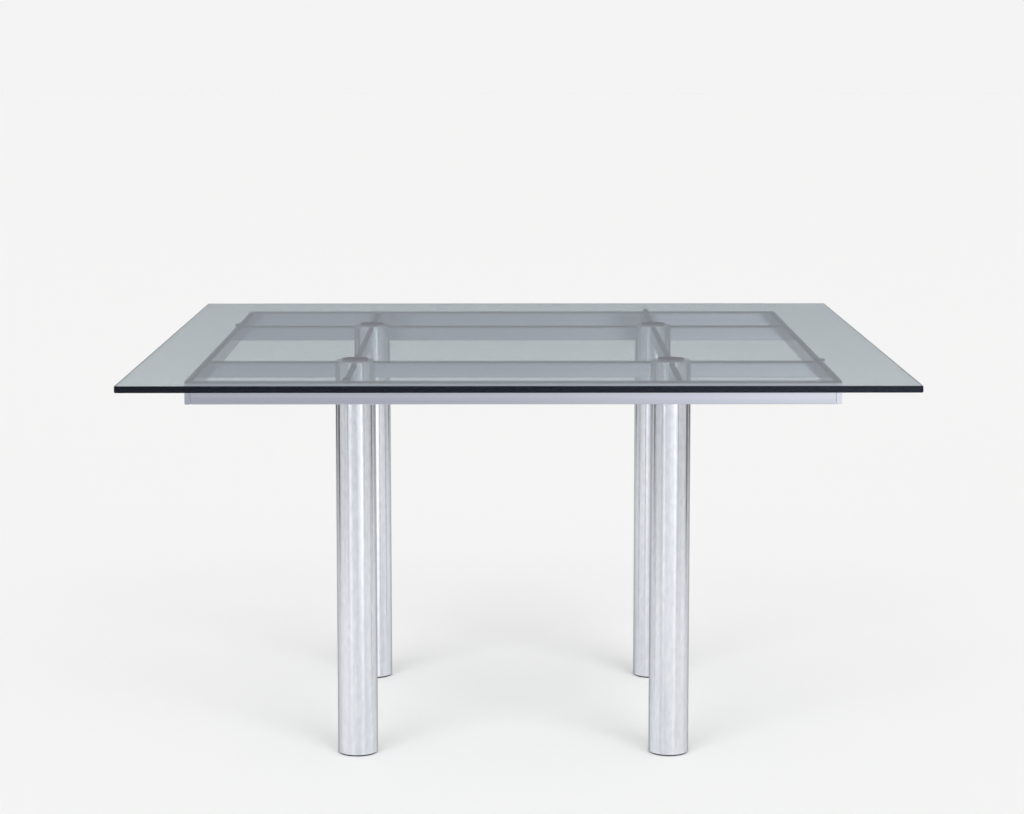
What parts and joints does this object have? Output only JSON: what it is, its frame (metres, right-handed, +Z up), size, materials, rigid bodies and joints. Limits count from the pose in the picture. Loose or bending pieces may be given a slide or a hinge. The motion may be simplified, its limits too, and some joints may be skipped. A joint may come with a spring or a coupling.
{
  "type": "extendable dining table",
  "caption": "Square dining table: a smoked glass top on tubular chromed legs and a grid of flat rails whose left and right sides slide out to carry a leaf.",
  "frame": {"origin": "on the floor, under the middle of the glass top", "axes": "+Z up, +X to the right, +Y to the rear; the sliding sides pull out along -X and +X"},
  "size_m": [1.4, 1.4, 0.76],
  "materials": {
    "smoked_glass": "polished",
    "polished_chrome": "polished",
    "satin_chrome": "satin",
    "cast_aluminium": "satin",
    "screw_steel": "satin",
    "dark_plastic": "matte",
    "white_polymer": "matte"
  },
  "bodies": {
    "root": {"cap_pads": "dark_plastic", "cap_screws": "screw_steel", "fixed_rail_strips": "dark_plastic", "foot_glide_front_left": "dark_plastic", "foot_glide_front_right": "dark_plastic", "foot_glide_rear_left": "dark_plastic", "foot_glide_rear_right": "dark_plastic", "foot_plug_front_left": "cast_aluminium", "foot_plug_front_right": "cast_aluminium", "foot_plug_rear_left": "cast_aluminium", "foot_plug_rear_right": "cast_aluminium", "front_joint_dowels": "screw_steel", "front_outer_rail": "satin_chrome", "front_rest_pad": "dark_plastic", "glass_top": "smoked_glass", "left_inner_rail_front": "satin_chrome", "left_inner_rail_middle": "satin_chrome", "left_inner_rail_rear": "satin_chrome", "leg_cap_front_left": "satin_chrome", "leg_cap_front_right": "satin_chrome", "leg_cap_rear_left": "satin_chrome", "leg_cap_rear_right": "satin_chrome", "leg_front_left": "polished_chrome", "leg_front_right": "polished_chrome", "leg_head_front_left": "cast_aluminium", "leg_head_front_right": "cast_aluminium", "leg_head_rear_left": "cast_aluminium", "leg_head_rear_right": "cast_aluminium", "leg_rear_left": "polished_chrome", "leg_rear_right": "polished_chrome", "rear_joint_dowels": "screw_steel", "rear_outer_rail": "satin_chrome", "rear_rest_pad": "dark_plastic", "right_inner_rail_front": "satin_chrome", "right_inner_rail_middle": "satin_chrome", "right_inner_rail_rear": "satin_chrome", "slide_liner_front_left": "white_polymer", "slide_liner_front_right": "white_polymer", "slide_liner_rear_left": "white_polymer", "slide_liner_rear_right": "white_polymer"},
    "left_carriage": {"left_rail_strips": "dark_plastic", "left_outer_rail": "satin_chrome", "rear_cross_rail": "satin_chrome", "left_stop_pin": "screw_steel", "left_joint_dowels": "screw_steel", "left_rest_pad": "dark_plastic"},
    "right_carriage": {"right_rail_strips": "dark_plastic", "right_outer_rail": "satin_chrome", "front_cross_rail": "satin_chrome", "right_stop_pin": "screw_steel", "right_joint_dowels": "screw_steel", "right_rest_pad": "dark_plastic"}
  },
  "joints": [
    {"name": "left_slide", "type": "slide", "parent": "root", "child": "left_carriage", "axis": [-1, 0, 0], "range_m": [0, 0.22]},
    {"name": "right_slide", "type": "slide", "parent": "root", "child": "right_carriage", "axis": [1, 0, 0], "range_m": [0, 0.22]}
  ]
}
